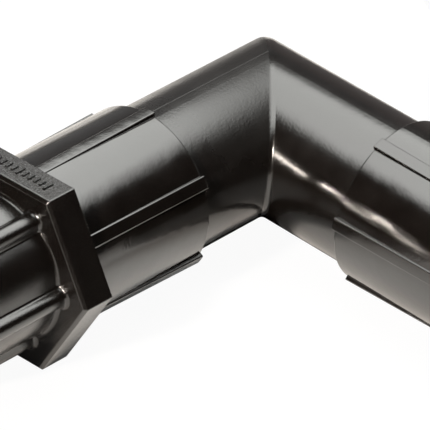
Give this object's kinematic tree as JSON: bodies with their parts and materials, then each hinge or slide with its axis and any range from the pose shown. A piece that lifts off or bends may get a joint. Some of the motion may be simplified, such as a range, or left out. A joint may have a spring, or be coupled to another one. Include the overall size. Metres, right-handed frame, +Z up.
{
  "type": "drip tubing elbow adapter",
  "caption": "Right-angle elbow for drip tubing with ribbed compression sleeves on its arms and a hexagonal female pipe thread adapter pushed into the thread arm.",
  "frame": {"origin": "centre of the female pipe thread's mouth, on the thread arm's centre line", "axes": "-X points out of the thread's mouth, -Y points out of the tubing socket, +Z is up and square to both arms, with the elbow lying on its side"},
  "size_m": [0.0995, 0.0786, 0.0348],
  "materials": {
    "elbow_plastic": "black moulded ABS, glossy",
    "sleeve_plastic": "black moulded ABS, glossy",
    "adapter_plastic": "black moulded ABS, glossy with fine-grained flats",
    "grip_rubber": "soft black rubber, matt"
  },
  "bodies": {
    "root": {"elbow_body": "elbow_plastic", "thread_side_sleeve": "sleeve_plastic", "tubing_side_sleeve": "sleeve_plastic", "thread_side_grip_ring": "grip_rubber", "tubing_side_grip_ring": "grip_rubber", "threaded_adapter": "adapter_plastic"}
  },
  "joints": []
}
